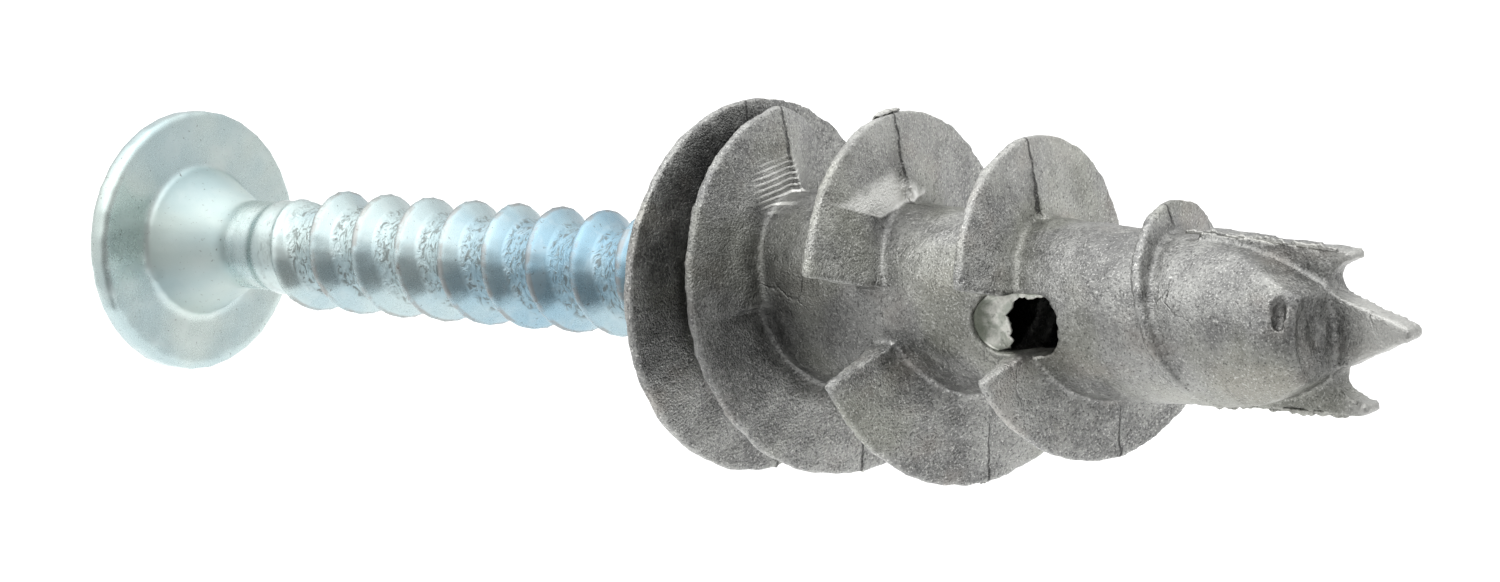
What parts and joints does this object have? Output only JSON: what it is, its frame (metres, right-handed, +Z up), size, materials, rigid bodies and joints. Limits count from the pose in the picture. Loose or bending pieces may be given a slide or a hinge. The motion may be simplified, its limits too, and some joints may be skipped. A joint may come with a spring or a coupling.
{
  "type": "wall anchor",
  "caption": "Self-drilling zinc plasterboard anchor with a wide helical blade, a flange and a flat drill tip, with its wide-head steel screw started in the bore.",
  "frame": {"origin": "on the anchor's axis, in the plane of the flange face that lies on the wall", "axes": "+X along the axis into the wall, towards the drill tip; +Z up, in the plane of the flat drill tip"},
  "size_m": [0.0597, 0.013, 0.013],
  "materials": {
    "cast_zinc": "grey as-cast zinc alloy, matt and grainy",
    "plated_steel": "bright blue-white zinc plating"
  },
  "bodies": {
    "anchor": {"anchor": "cast_zinc"},
    "screw_travel": {"screw_spine": "plated_steel"},
    "screw": {"screw": "plated_steel"}
  },
  "joints": [
    {"name": "screw_slide", "type": "slide", "parent": "anchor", "child": "screw_travel", "axis": [1, 0, 0], "range_m": [-0.00675, 0.018]},
    {"name": "screw_turn", "type": "hinge", "parent": "screw_travel", "child": "screw", "pos_m": [0, 0, 0], "axis": [1, 0, 0], "range_deg": [-1080.01, 2880.01]}
  ],
  "couplings": [
    {"joint": "screw_turn", "follows": "screw_slide", "rad_per_m": 2792.5}
  ]
}
